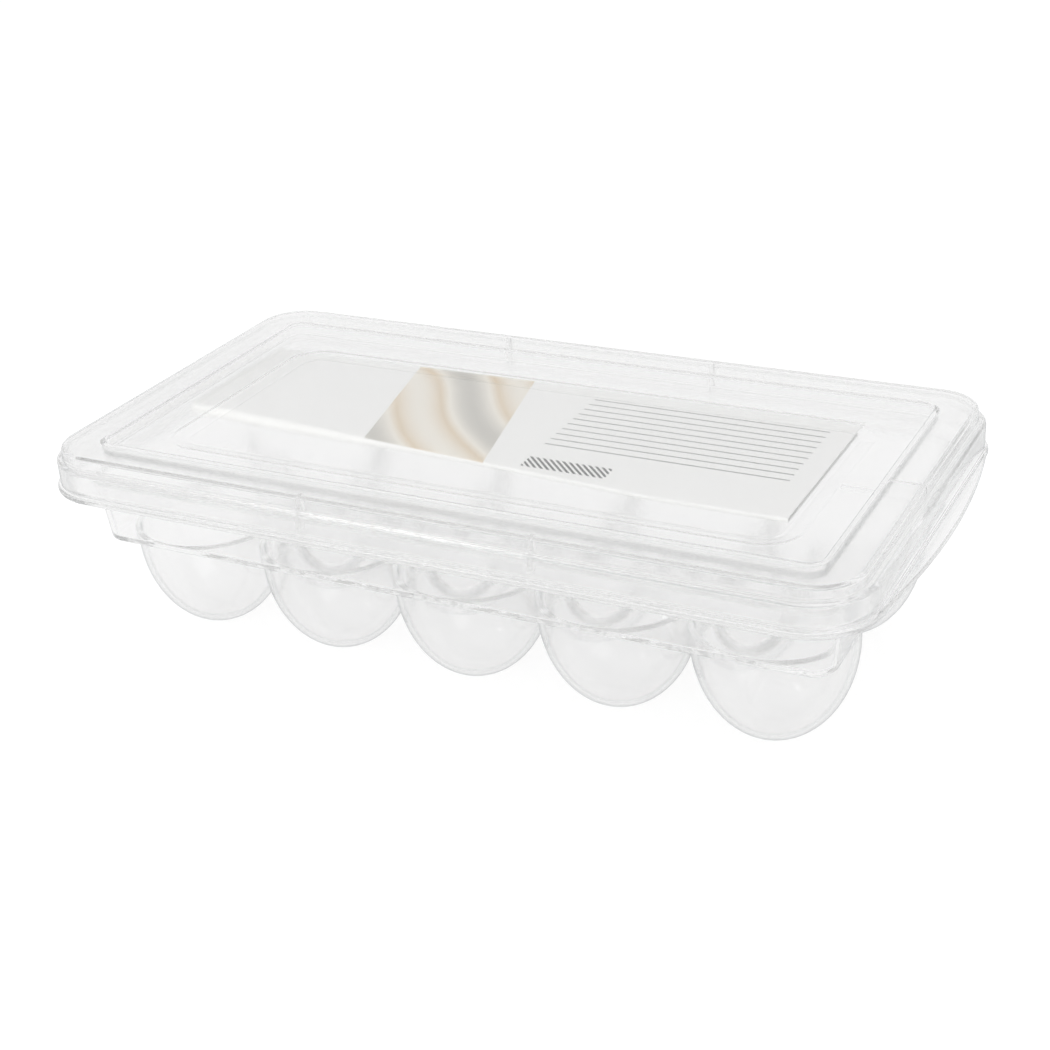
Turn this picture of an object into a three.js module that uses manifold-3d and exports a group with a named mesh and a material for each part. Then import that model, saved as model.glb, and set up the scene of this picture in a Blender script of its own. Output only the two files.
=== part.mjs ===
// Egg storage box: a clear tray of staggered cups, a clear lift-off lid and a folded card under the lid.
// Millimetres, +Z up. The origin is on the table, under the middle of the outline with the handle tab.
import * as THREE from 'three';
import { mergeVertices } from 'three/addons/utils/BufferGeometryUtils.js';
import Module from 'manifold-3d';

const wasm = await Module();
wasm.setup();

// Cups of the tray: two long rows with a short row staggered between them
const CUPS_IN_LONG_ROW = 5;
const CUP_PITCH = 48.8;
const CUP_ROW_PITCH = 32.3;
const CUP_HALF_WIDTH = 24.5;
const CUP_HALF_HEIGHT = 32.6;
const CUP_FOOT_RADIUS = 4;
const TRAY_WALL = 1.6;

// Posts and ridges between the cups, lower than the deck round the cups
const POST_HEIGHT = 28;
const RIDGE_SLOPE_RUN = 4;

// Deck round the cups and the drafted wall that stands on its edge
const DECK_HEIGHT = 35.7;
const DECK_END_MARGIN = 0.2;
const DECK_SIDE_MARGIN = 1.1;
const WALL_HEIGHT = 20.3;
const WALL_DRAFT_DEGREES = 6;
const WALL_CORNER_RADIUS = 7;

// Rim of the tray: a shoulder out to a beaded edge, and an upstand that the lid fits over
const SHOULDER_END_WIDTH = 10.8;
const SHOULDER_SIDE_WIDTH = 13.2;
const FLANGE_THICKNESS = 1.9;
const FLANGE_CORNER_RADIUS = 21;
const FLANGE_EDGE_RADIUS = 0.8;
const UPSTAND_HEIGHT = 6.8;
const UPSTAND_WALL = 1.5;

// Handle tab: a crescent past one end of the rim
const TAB_REACH = 4.5;
const TAB_THICKNESS = 1.9;
const TAB_RAISE = 1.1;
const TAB_END_INSET = 16.2;

// Lid: a skirt, a ledge, a raised ring and a sunk panel with a lower middle
const LID_WALL = 1.5;
const LID_CLEARANCE = 0.4;
const SEAT_GAP = 0.3;
const FLANGE_REVEAL = 1.05;
const LEDGE_WIDTH = 3;
const RING_STEP_HEIGHT = 3.8;
const RING_CORNER_RADIUS = 14.3;
const RING_WIDTH = 12.8;
const LID_EDGE_RADIUS = 1;
const RECESS_DEPTH = 4;
const RECESS_DRAFT_RUN = 0.4;
const RECESS_CORNER_RADIUS = 4;
const PANEL_BORDER = 12.4;
const PANEL_SLOPE_RUN = 5;
const PANEL_DROP = 0.8;
const PANEL_CORNER_RADIUS = 7;
const ARCH_END_INSET = 17.2;

// Under the lid: lugs that hang inside the tray's upstand, and a rib at the end with the handle tab
const LUG_SPACING = 76;
const LUG_SHIFT = 1.5;
const LUG_WIDTH = 1.2;
const LUG_DEPTH = 2;
const LUG_FOOT_CLEARANCE = 1.1;
const END_RIB_WIDTH = 1;
const END_RIB_DROP = 1;

// Card: one sheet folded along its front edge, with the fold rolled wider at one end
const CARD_THICKNESS = 0.4;
const CARD_END_CLEARANCE = 0.4;
const CARD_FAR_END_MARGIN = 20.4;
const CARD_FRONT_MARGIN = 33;
const CARD_BACK_MARGIN = 8.5;
const CARD_FRONT_SKEW = 13.6;
const CARD_BACK_SKEW = 4.3;
const CARD_ROLL_DIAMETER = 4.6;
const CARD_FOLD_DIAMETER = 1.6;
const CARD_LOWER_LEAF_INSET = 6;
const CARD_SKEW_END_SHARE = 0.8;
const CARD_ROLL_END_SHARE = 0.1;
const CARD_FOLD_START_SHARE = 0.55;

// Counts of facets, and how far a cutter runs past what it cuts
const CUP_SEGMENTS = 24;
const CUP_RINGS = 6;
const CORNER_STEPS = 6;
const EDGE_STEPS = 3;
const TAB_STEPS = 16;
const ARCH_STEPS = 16;
const CARD_STATIONS = 10;
const CARD_FOLD_STEPS = 8;
const OVERRUN = 2;

// Sizes that follow from the driving ones
const CUPS_IN_SHORT_ROW = CUPS_IN_LONG_ROW - 1;
const ROW_HALF_LENGTH = (CUPS_IN_LONG_ROW - 1) * CUP_PITCH / 2;
const SHORT_ROW_HALF_LENGTH = (CUPS_IN_SHORT_ROW - 1) * CUP_PITCH / 2;
const CUP_FOOT_DEPTH = CUP_HALF_HEIGHT * Math.sqrt(1 - (CUP_FOOT_RADIUS / CUP_HALF_WIDTH) ** 2);
const CUP_EQUATOR = CUP_FOOT_DEPTH;
const DECK_TOP = DECK_HEIGHT + TRAY_WALL;
const FLANGE_HEIGHT = DECK_HEIGHT + WALL_HEIGHT;
const FLANGE_TOP = FLANGE_HEIGHT + FLANGE_THICKNESS;
const UPSTAND_TOP = FLANGE_TOP + UPSTAND_HEIGHT;
const WALL_RUN = Math.tan(THREE.MathUtils.degToRad(WALL_DRAFT_DEGREES));

const DECK_HALF = new THREE.Vector2(
  ROW_HALF_LENGTH + CUP_HALF_WIDTH + DECK_END_MARGIN,
  CUP_ROW_PITCH + CUP_HALF_WIDTH + DECK_SIDE_MARGIN,
);
const FLANGE_HALF = new THREE.Vector2(
  DECK_HALF.x + WALL_HEIGHT * WALL_RUN + SHOULDER_END_WIDTH,
  DECK_HALF.y + WALL_HEIGHT * WALL_RUN + SHOULDER_SIDE_WIDTH,
);
const SKIRT_HALF = inset(FLANGE_HALF, FLANGE_REVEAL);
const SKIRT_CORNER_RADIUS = FLANGE_CORNER_RADIUS - FLANGE_REVEAL;
const UPSTAND_HALF = inset(SKIRT_HALF, LID_WALL + LID_CLEARANCE);
const UPSTAND_CORNER_RADIUS = SKIRT_CORNER_RADIUS - LID_WALL - LID_CLEARANCE;

const SKIRT_BOTTOM = FLANGE_TOP + SEAT_GAP;
const LEDGE_UNDERSIDE = UPSTAND_TOP + SEAT_GAP;
const LEDGE_TOP = LEDGE_UNDERSIDE + LID_WALL;
const RING_TOP = LEDGE_TOP + RING_STEP_HEIGHT;
const RING_HALF = inset(SKIRT_HALF, LEDGE_WIDTH);
const RECESS_HALF = inset(RING_HALF, RING_WIDTH);
const RECESS_FLOOR_HALF = inset(RECESS_HALF, RECESS_DRAFT_RUN);
const RECESS_FLOOR = RING_TOP - RECESS_DEPTH;
const PANEL_OUTER_HALF = inset(RECESS_HALF, PANEL_BORDER);
const PANEL_HALF = inset(PANEL_OUTER_HALF, PANEL_SLOPE_RUN);
const PANEL_FLOOR = RECESS_FLOOR - PANEL_DROP;
const CARD_TOP = PANEL_FLOOR - LID_WALL - SEAT_GAP;

/** Half sizes of a rectangle drawn in by the same distance on every side. */
function inset(half, distance) {
  return new THREE.Vector2(half.x - distance, half.y - distance);
}

/** Points of a rectangle with round corners, counter-clockwise. */
function roundedRectangle(half, radius) {
  const points = [];
  const corners = [[1, 1], [-1, 1], [-1, -1], [1, -1]];
  corners.forEach(([sideX, sideY], quarter) => {
    for (let step = 0; step <= CORNER_STEPS; step += 1) {
      const angle = (quarter + step / CORNER_STEPS) * Math.PI / 2;
      points.push(new THREE.Vector2(
        sideX * (half.x - radius) + radius * Math.cos(angle),
        sideY * (half.y - radius) + radius * Math.sin(angle),
      ));
    }
  });
  return points;
}

/** Closed body through a stack of rings with equal point counts, from the first ring to the last. */
function loft(rings, capOutline) {
  const count = capOutline.length;
  const positions = rings.flatMap((ring) => ring.flatMap((point) => point.toArray()));
  const cap = THREE.ShapeUtils.triangulateShape(capOutline, []);
  const last = (rings.length - 1) * count;
  const index = [];
  cap.forEach(([a, b, c]) => {
    index.push(a, c, b);
    index.push(last + a, last + b, last + c);
  });
  for (let row = 0; row < last; row += count) {
    for (let side = 0; side < count; side += 1) {
      const next = (side + 1) % count;
      index.push(row + side, row + next, row + count + next);
      index.push(row + side, row + count + next, row + count + side);
    }
  }
  const geometry = new THREE.BufferGeometry();
  geometry.setAttribute('position', new THREE.Float32BufferAttribute(positions, 3));
  geometry.setIndex(index);
  return solid(geometry);
}

/** Upright body between outlines, each a list of points at its own height. */
function stack(sections) {
  const rings = sections.map(({ points, z }) => points.map((p) => new THREE.Vector3(p.x, p.y, z)));
  return loft(rings, sections[0].points);
}

/** Rounded-rectangle block from one height to another, with optional half sizes at its top. */
function block(half, radius, bottom, top, topHalf = half) {
  const topRadius = radius + topHalf.x - half.x;
  return stack([
    { points: roundedRectangle(half, radius), z: bottom },
    { points: roundedRectangle(topHalf, topRadius), z: top },
  ]);
}

/** Rounded-rectangle block with a round upper edge, and a round lower edge where it is asked for. */
function softBlock(half, radius, bottom, top, edge, lowerEdge = 0) {
  const sections = [];
  if (lowerEdge > 0) {
    for (let step = 0; step < EDGE_STEPS; step += 1) {
      const angle = step / EDGE_STEPS * Math.PI / 2;
      const draw = lowerEdge * (1 - Math.sin(angle));
      sections.push({
        points: roundedRectangle(inset(half, draw), radius - draw),
        z: bottom + lowerEdge * (1 - Math.cos(angle)),
      });
    }
  }
  sections.push({ points: roundedRectangle(half, radius), z: bottom + lowerEdge });
  for (let step = 0; step <= EDGE_STEPS; step += 1) {
    const angle = step / EDGE_STEPS * Math.PI / 2;
    const draw = edge * (1 - Math.cos(angle));
    sections.push({
      points: roundedRectangle(inset(half, draw), radius - draw),
      z: top - edge + edge * Math.sin(angle),
    });
  }
  return stack(sections);
}

/** Solid from a closed geometry, with its shared vertices merged and empty triangles left out. */
function solid(geometry) {
  const bare = new THREE.BufferGeometry();
  bare.setAttribute('position', geometry.getAttribute('position').clone());
  bare.setIndex(geometry.getIndex());
  const merged = mergeVertices(bare);
  const corners = merged.getIndex().array;
  const kept = [];
  for (let i = 0; i < corners.length; i += 3) {
    const [a, b, c] = [corners[i], corners[i + 1], corners[i + 2]];
    if (a !== b && b !== c && c !== a) {
      kept.push(a, b, c);
    }
  }
  return new wasm.Manifold(new wasm.Mesh({
    numProp: 3,
    vertProperties: Float32Array.from(merged.getAttribute('position').array),
    triVerts: Uint32Array.from(kept),
  }));
}

function join(solids) {
  return solids.reduce((whole, piece) => whole.add(piece));
}

/** Named mesh from a finished solid. */
function mesh(name, body, material) {
  const { vertProperties, triVerts } = body.getMesh();
  const geometry = new THREE.BufferGeometry();
  geometry.setAttribute('position', new THREE.Float32BufferAttribute(vertProperties, 3));
  geometry.setIndex(Array.from(triVerts));
  geometry.computeVertexNormals();
  const result = new THREE.Mesh(geometry, material);
  result.name = name;
  return result;
}

/** Centres of all the cups, row by row from the front. */
function cupCentres() {
  const rows = [
    { y: -CUP_ROW_PITCH, count: CUPS_IN_LONG_ROW, halfLength: ROW_HALF_LENGTH },
    { y: 0, count: CUPS_IN_SHORT_ROW, halfLength: SHORT_ROW_HALF_LENGTH },
    { y: CUP_ROW_PITCH, count: CUPS_IN_LONG_ROW, halfLength: ROW_HALF_LENGTH },
  ];
  return rows.flatMap(({ y, count, halfLength }) => Array.from(
    { length: count },
    (_, place) => new THREE.Vector2(place * CUP_PITCH - halfLength, y),
  ));
}

/** One cup as a revolved body: a flat foot, the lower half of an egg and a straight mouth. */
function cup(halfWidth, halfHeight, foot, top) {
  const footAngle = Math.asin((CUP_EQUATOR - foot) / halfHeight);
  const profile = [new THREE.Vector2(0, foot)];
  for (let ring = 0; ring <= CUP_RINGS; ring += 1) {
    const angle = footAngle * (1 - ring / CUP_RINGS);
    profile.push(new THREE.Vector2(halfWidth * Math.cos(angle), CUP_EQUATOR - halfHeight * Math.sin(angle)));
  }
  profile.push(new THREE.Vector2(halfWidth, top));
  profile.push(new THREE.Vector2(0, top));
  const geometry = new THREE.LatheGeometry(profile, CUP_SEGMENTS);
  geometry.rotateX(Math.PI / 2);
  return solid(geometry);
}

/** The same cup body at every place in the tray, joined. */
function cupField(body) {
  return join(cupCentres().map((centre) => body.translate([centre.x, centre.y, 0])));
}

/** Outline through the cup centres at the edge of the field, with the long rows moved by a distance. */
function fieldOutline(rowShift) {
  const rowY = CUP_ROW_PITCH + rowShift;
  return [
    new THREE.Vector2(-ROW_HALF_LENGTH, -rowY),
    new THREE.Vector2(ROW_HALF_LENGTH, -rowY),
    new THREE.Vector2(SHORT_ROW_HALF_LENGTH, 0),
    new THREE.Vector2(ROW_HALF_LENGTH, rowY),
    new THREE.Vector2(-ROW_HALF_LENGTH, rowY),
    new THREE.Vector2(-SHORT_ROW_HALF_LENGTH, 0),
  ];
}

/** The space over the posts: it falls from the deck at the long rows to the post tops inside. */
function valley() {
  return stack([
    { points: fieldOutline(-RIDGE_SLOPE_RUN), z: POST_HEIGHT },
    { points: fieldOutline(RIDGE_SLOPE_RUN), z: DECK_TOP },
    { points: fieldOutline(RIDGE_SLOPE_RUN), z: DECK_TOP + OVERRUN },
  ]);
}

/** Web that closes the field between the cups: thin under the posts, deeper along the long rows. */
function webs() {
  const webBottom = POST_HEIGHT - TRAY_WALL;
  const plate = stack([
    { points: fieldOutline(0), z: webBottom },
    { points: fieldOutline(0), z: POST_HEIGHT },
  ]);
  const rib = new THREE.BoxGeometry(2 * ROW_HALF_LENGTH, 2 * RIDGE_SLOPE_RUN, DECK_TOP - webBottom);
  rib.translate(0, 0, (DECK_TOP + webBottom) / 2);
  const ribs = [-CUP_ROW_PITCH, CUP_ROW_PITCH].map((y) => solid(rib).translate([0, y, 0]));
  return { plate, ribs: join(ribs) };
}

/** Crescent that reaches past the end of the rim, just outside the lid's skirt. */
function handleTab() {
  const start = SKIRT_HALF.x + SEAT_GAP;
  const reach = FLANGE_HALF.x + TAB_REACH - start;
  const halfChord = FLANGE_HALF.y - TAB_END_INSET;
  const radius = (halfChord ** 2 + reach ** 2) / (2 * reach);
  const spread = Math.asin(halfChord / radius);
  const shape = new THREE.Shape();
  shape.absarc(start + reach - radius, 0, radius, -spread, spread, false);
  shape.closePath();
  const geometry = new THREE.ExtrudeGeometry(shape, {
    depth: TAB_THICKNESS,
    bevelEnabled: false,
    curveSegments: TAB_STEPS,
  });
  return solid(geometry).translate([0, 0, FLANGE_HEIGHT + TAB_RAISE]);
}

function tray() {
  const wallTop = FLANGE_HEIGHT - DECK_HEIGHT;
  const outerTopHalf = inset(DECK_HALF, -wallTop * WALL_RUN);
  const innerDeckHalf = inset(DECK_HALF, TRAY_WALL - TRAY_WALL * WALL_RUN);
  const innerTopHalf = inset(innerDeckHalf, -(FLANGE_TOP - DECK_TOP) * WALL_RUN);
  const innerRadius = WALL_CORNER_RADIUS - TRAY_WALL;
  const { plate, ribs } = webs();

  const wall = block(DECK_HALF, WALL_CORNER_RADIUS, DECK_HEIGHT, FLANGE_HEIGHT, outerTopHalf);
  const flange = softBlock(
    FLANGE_HALF, FLANGE_CORNER_RADIUS, FLANGE_HEIGHT, FLANGE_TOP, FLANGE_EDGE_RADIUS, FLANGE_EDGE_RADIUS,
  );
  const upstand = block(UPSTAND_HALF, UPSTAND_CORNER_RADIUS, FLANGE_HEIGHT, UPSTAND_TOP);
  const upstandSpace = block(
    inset(UPSTAND_HALF, UPSTAND_WALL), UPSTAND_CORNER_RADIUS - UPSTAND_WALL, FLANGE_TOP, UPSTAND_TOP + OVERRUN,
  );
  const wallSpace = block(innerDeckHalf, innerRadius, DECK_TOP, FLANGE_TOP, innerTopHalf);
  const box = join([wall, flange, upstand, handleTab()]).subtract(upstandSpace).subtract(wallSpace);

  const outerCups = cupField(cup(CUP_HALF_WIDTH, CUP_HALF_HEIGHT, 0, DECK_TOP));
  const cupSpaces = cupField(
    cup(CUP_HALF_WIDTH - TRAY_WALL, CUP_HALF_HEIGHT - TRAY_WALL, TRAY_WALL, DECK_TOP + OVERRUN),
  );
  return join([box, outerCups, ribs]).subtract(valley()).add(plate).subtract(cupSpaces);
}

/** Cutter that lifts the skirt's lower edge in an arch over the handle tab. */
function skirtArch() {
  const halfChord = SKIRT_HALF.y - ARCH_END_INSET;
  const rise = LEDGE_UNDERSIDE - SKIRT_BOTTOM;
  const radius = (halfChord ** 2 + rise ** 2) / (2 * rise);
  const spread = Math.asin(halfChord / radius);
  const shape = new THREE.Shape();
  shape.moveTo(-halfChord, -OVERRUN);
  shape.lineTo(halfChord, -OVERRUN);
  shape.absarc(0, rise - radius, radius, Math.PI / 2 - spread, Math.PI / 2 + spread, false);
  shape.closePath();
  const depth = LID_WALL + 2 * OVERRUN;
  const geometry = new THREE.ExtrudeGeometry(shape, { depth, bevelEnabled: false, curveSegments: ARCH_STEPS });
  geometry.rotateX(Math.PI / 2);
  geometry.rotateZ(Math.PI / 2);
  return solid(geometry).translate([SKIRT_HALF.x - LID_WALL - OVERRUN, 0, SKIRT_BOTTOM]);
}

/** Lugs on the ring's inner wall, in pairs along the two long sides. */
function lugs() {
  const bottom = FLANGE_TOP + LUG_FOOT_CLEARANCE;
  const top = RING_TOP - LID_WALL / 2;
  const depth = LUG_DEPTH + LID_WALL / 2;
  const lug = new THREE.BoxGeometry(LUG_WIDTH, depth, top - bottom);
  const y = RING_HALF.y - LID_WALL / 2 - depth / 2;
  return join([-1, 1].flatMap((sideX) => [-1, 1].map((sideY) => solid(lug).translate([
    LUG_SHIFT + sideX * LUG_SPACING / 2,
    sideY * y,
    (top + bottom) / 2,
  ]))));
}

/** Rib on the middle line, from the panel's border to the ring's inner wall. */
function endRib() {
  const start = PANEL_OUTER_HALF.x;
  const end = RING_HALF.x - LID_WALL / 2;
  const bottom = RECESS_FLOOR - LID_WALL - END_RIB_DROP;
  const top = RING_TOP - LID_WALL / 2;
  const rib = new THREE.BoxGeometry(end - start, END_RIB_WIDTH, top - bottom);
  return solid(rib).translate([(start + end) / 2, 0, (top + bottom) / 2]);
}

function lid() {
  const underFloor = RECESS_FLOOR - LID_WALL;
  const underPanel = PANEL_FLOOR - LID_WALL;
  const skirt = softBlock(SKIRT_HALF, SKIRT_CORNER_RADIUS, SKIRT_BOTTOM, LEDGE_TOP, LID_EDGE_RADIUS);
  const ring = softBlock(RING_HALF, RING_CORNER_RADIUS, LEDGE_UNDERSIDE, RING_TOP, LID_EDGE_RADIUS);
  const skirtSpace = block(
    inset(SKIRT_HALF, LID_WALL), SKIRT_CORNER_RADIUS - LID_WALL, SKIRT_BOTTOM - OVERRUN, LEDGE_UNDERSIDE,
  );
  const ringSpace = block(
    inset(RING_HALF, LID_WALL), RING_CORNER_RADIUS - LID_WALL, SKIRT_BOTTOM - OVERRUN, RING_TOP - LID_WALL,
  );

  const dishWall = block(
    inset(RECESS_FLOOR_HALF, -LID_WALL), RECESS_CORNER_RADIUS + LID_WALL, underFloor, RING_TOP - LID_WALL / 2,
    inset(RECESS_HALF, -LID_WALL),
  );
  const slopeRun = PANEL_SLOPE_RUN * (RECESS_FLOOR - underPanel) / PANEL_DROP;
  const dishMiddle = block(
    PANEL_HALF, PANEL_CORNER_RADIUS, underPanel, RECESS_FLOOR, inset(PANEL_HALF, -slopeRun),
  );
  const dishSpace = block(
    RECESS_FLOOR_HALF, RECESS_CORNER_RADIUS, RECESS_FLOOR, RING_TOP + OVERRUN,
    inset(RECESS_HALF, -RECESS_DRAFT_RUN * OVERRUN / RECESS_DEPTH),
  );
  const middleSpace = block(PANEL_HALF, PANEL_CORNER_RADIUS, PANEL_FLOOR, RECESS_FLOOR, PANEL_OUTER_HALF);

  return join([skirt, ring])
    .subtract(skirtSpace)
    .subtract(ringSpace)
    .add(dishWall)
    .add(dishMiddle)
    .add(lugs())
    .add(endRib())
    .subtract(join([dishSpace, middleSpace]))
    .subtract(skirtArch());
}

/** The folded sheet's section at one place along it, as points of depth and height. */
function cardSection(front, back, lowerBack, diameter) {
  const outer = diameter / 2;
  const arc = (radius) => Array.from({ length: CARD_FOLD_STEPS + 1 }, (_, step) => {
    const angle = (0.5 + step / CARD_FOLD_STEPS) * Math.PI;
    return new THREE.Vector2(
      front + outer + radius * Math.cos(angle),
      CARD_TOP - outer + radius * Math.sin(angle),
    );
  });
  return [
    new THREE.Vector2(back, CARD_TOP),
    ...arc(outer),
    new THREE.Vector2(lowerBack, CARD_TOP - diameter),
    new THREE.Vector2(lowerBack, CARD_TOP - diameter + CARD_THICKNESS),
    ...arc(outer - CARD_THICKNESS).reverse(),
    new THREE.Vector2(back, CARD_TOP - CARD_THICKNESS),
  ];
}

function card() {
  const left = -RECESS_HALF.x + CARD_END_CLEARANCE;
  const right = RECESS_HALF.x - CARD_FAR_END_MARGIN;
  const front = -RECESS_HALF.y + CARD_FRONT_MARGIN;
  const back = RECESS_HALF.y - CARD_BACK_MARGIN;
  const sections = Array.from({ length: CARD_STATIONS + 1 }, (_, station) => {
    const share = station / CARD_STATIONS;
    const tight = THREE.MathUtils.smoothstep(share, CARD_ROLL_END_SHARE, CARD_FOLD_START_SHARE);
    const diameter = THREE.MathUtils.lerp(CARD_ROLL_DIAMETER, CARD_FOLD_DIAMETER, tight);
    const stationFront = front + CARD_FRONT_SKEW * Math.max(0, 1 - share / CARD_SKEW_END_SHARE);
    const stationBack = back - CARD_BACK_SKEW * (1 - share);
    return {
      x: THREE.MathUtils.lerp(left, right, share),
      points: cardSection(stationFront, stationBack, stationBack - CARD_LOWER_LEAF_INSET, diameter),
    };
  });
  const rings = sections.map(({ x, points }) => points.map((p) => new THREE.Vector3(x, p.x, p.y)));
  return loft(rings, sections[0].points);
}

const trayPlastic = new THREE.MeshStandardMaterial({
  color: 0xe6ebea, roughness: 0.08, metalness: 0, transparent: true, opacity: 0.4,
});
const lidPlastic = new THREE.MeshStandardMaterial({
  color: 0xeceeeb, roughness: 0.06, metalness: 0, transparent: true, opacity: 0.35,
});
const paper = new THREE.MeshStandardMaterial({ color: 0xdcdad4, roughness: 0.55, metalness: 0 });

const eggStorageBox = new THREE.Group();
eggStorageBox.name = 'egg_storage_box';
eggStorageBox.add(
  mesh('cup_tray', tray(), trayPlastic),
  mesh('lid', lid(), lidPlastic),
  mesh('insert_card', card(), paper),
);
eggStorageBox.position.x = -TAB_REACH / 2;

export default eggStorageBox;
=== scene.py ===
"""Egg storage box: a clear cup tray, a clear lift-off lid and a folded card."""
import logging
import math
from dataclasses import dataclass, field
from enum import Enum
from typing import Any, Callable, Sequence

import bmesh
import bpy
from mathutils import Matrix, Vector


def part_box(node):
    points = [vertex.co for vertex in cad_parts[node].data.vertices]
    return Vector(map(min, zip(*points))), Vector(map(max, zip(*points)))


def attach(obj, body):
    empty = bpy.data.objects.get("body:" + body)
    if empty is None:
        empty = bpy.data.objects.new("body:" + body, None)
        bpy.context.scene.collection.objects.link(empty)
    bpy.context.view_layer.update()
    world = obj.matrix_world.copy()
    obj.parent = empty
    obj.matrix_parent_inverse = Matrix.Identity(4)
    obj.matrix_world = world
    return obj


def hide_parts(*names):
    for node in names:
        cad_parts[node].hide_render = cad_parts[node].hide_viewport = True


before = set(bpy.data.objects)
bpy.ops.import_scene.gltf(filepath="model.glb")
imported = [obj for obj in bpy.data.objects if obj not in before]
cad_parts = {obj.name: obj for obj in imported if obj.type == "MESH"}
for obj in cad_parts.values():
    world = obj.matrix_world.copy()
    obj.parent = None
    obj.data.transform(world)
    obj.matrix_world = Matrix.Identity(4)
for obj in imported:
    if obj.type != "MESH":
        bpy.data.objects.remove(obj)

Piece = bpy.types.Object
Tree = bpy.types.NodeTree
Socket = bpy.types.NodeSocket

log = logging.getLogger("egg_storage_box")

MILLIMETRE = 0.001
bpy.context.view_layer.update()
SAME_PLACE = 1e-6  # Metres within which two places count as one.
ROUND_PROFILE = 0.5  # Bevel profile of a quarter circle.
WAVE_LENGTH = math.pi / 5  # Length over which a diagonal wave texture of scale 1 repeats.
WHITE = "#FFFFFF"


class Cut(Enum):
    """How one solid meets another."""

    JOIN = "UNION"
    TAKE_AWAY = "DIFFERENCE"


class Part(Enum):
    """Which parts of a mesh are selected."""

    VERTEX = "VERT"
    EDGE = "EDGE"
    FACE = "FACE"


def mm(value: float) -> float:
    """Metres from millimetres."""
    return value * MILLIMETRE


def colour(hex_text: str) -> tuple[float, float, float, float]:
    """Linear colour from an sRGB hex value.

    Args:
        hex_text: Colour as "#rrggbb".

    Returns:
        Linear red, green, blue and full alpha.
    """
    def channel(start: int) -> float:
        """Linear value of the two hex digits that start there, by the sRGB curve's two parts."""
        value = int(hex_text[start:start + 2], 16) / 255
        return value / 12.92 if value <= 0.04045 else ((value + 0.055) / 1.055) ** 2.4

    return channel(1), channel(3), channel(5), 1.0


def add_node(
    tree: Tree,
    kind: str,
    settings: dict[str, Any] | None = None,
    inputs: dict[Any, Any] | None = None,
) -> bpy.types.Node:
    """Adds a node with its settings, and its inputs as values or links.

    Args:
        tree: Node tree that takes the node.
        kind: Blender's name for the node.
        settings: Attributes of the node.
        inputs: Values or output sockets, by input name or place.

    Returns:
        The node.
    """
    node = tree.nodes.new(kind)
    for name, value in (settings or {}).items():
        setattr(node, name, value)
    for name, value in (inputs or {}).items():
        if isinstance(value, Socket):
            tree.links.new(value, node.inputs[name])
        else:
            node.inputs[name].default_value = value
    return node


def empty_tree(owner: bpy.types.Material | bpy.types.World) -> Tree:
    """Turns the nodes of a material or world on and clears them.

    Args:
        owner: The material or world.

    Returns:
        Its empty node tree.
    """
    owner.use_nodes = True
    owner.node_tree.nodes.clear()
    return owner.node_tree


def clear_selection() -> None:
    """Leaves edit mode and selects nothing."""
    if bpy.context.object is not None and bpy.context.object.mode != "OBJECT":
        bpy.ops.object.mode_set(mode="OBJECT")
    bpy.ops.object.select_all(action="DESELECT")


def make_active(piece: Piece) -> None:
    """Selects one piece alone and makes it the active one.

    Args:
        piece: The piece.
    """
    clear_selection()
    piece.select_set(True)
    bpy.context.view_layer.objects.active = piece


def apply_place(piece: Piece) -> None:
    """Puts a piece's place, turn and scale into its mesh."""
    make_active(piece)
    bpy.ops.object.transform_apply(location=True, rotation=True, scale=True)


def select_where(kind: Part, test: Callable[[Any], bool]) -> None:
    """Selects the parts of the mesh in edit mode that pass a test, and nothing else.

    Args:
        kind: Which parts are tested.
        test: Says whether one of them is taken.
    """
    bpy.ops.mesh.select_mode(type=kind.value)
    bpy.ops.mesh.select_all(action="DESELECT")
    shape = bmesh.from_edit_mesh(bpy.context.object.data)
    parts = {Part.VERTEX: shape.verts, Part.EDGE: shape.edges, Part.FACE: shape.faces}[kind]
    for part in [part for part in parts if test(part)]:
        part.select_set(True)
    shape.select_flush_mode()
    bmesh.update_edit_mesh(bpy.context.object.data)


def lies_at(part: Any, axis: str, level: float) -> bool:
    """Whether every vertex of an edge or face lies at a level on the axis "x", "y" or "z"."""
    return all(abs(getattr(vertex.co, axis) - level) < SAME_PLACE for vertex in part.verts)


def round_off(width: float, steps: int, corners: bool = False, clamp: bool = False) -> None:
    """Rounds what is selected in the mesh in edit mode.

    Args:
        width: Width of the rounding in millimetres.
        steps: Number of faces across it.
        corners: Rounds the corners of a flat face instead of edges.
        clamp: Stops the rounding where it would run past its neighbours.
    """
    bpy.ops.mesh.bevel(
        offset=mm(width), segments=steps, profile=ROUND_PROFILE,
        affect="VERTICES" if corners else "EDGES", clamp_overlap=clamp,
    )


def extrude_up(height: float) -> None:
    """Extrudes what is selected upwards by a height in millimetres."""
    bpy.ops.mesh.extrude_region_move(TRANSFORM_OT_translate={"value": (0, 0, mm(height))})


def close_shape() -> None:
    """Turns every face of the mesh in edit mode outwards, and leaves edit mode."""
    bpy.ops.mesh.select_all(action="SELECT")
    bpy.ops.mesh.normals_make_consistent(inside=False)
    bpy.ops.object.mode_set(mode="OBJECT")


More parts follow.
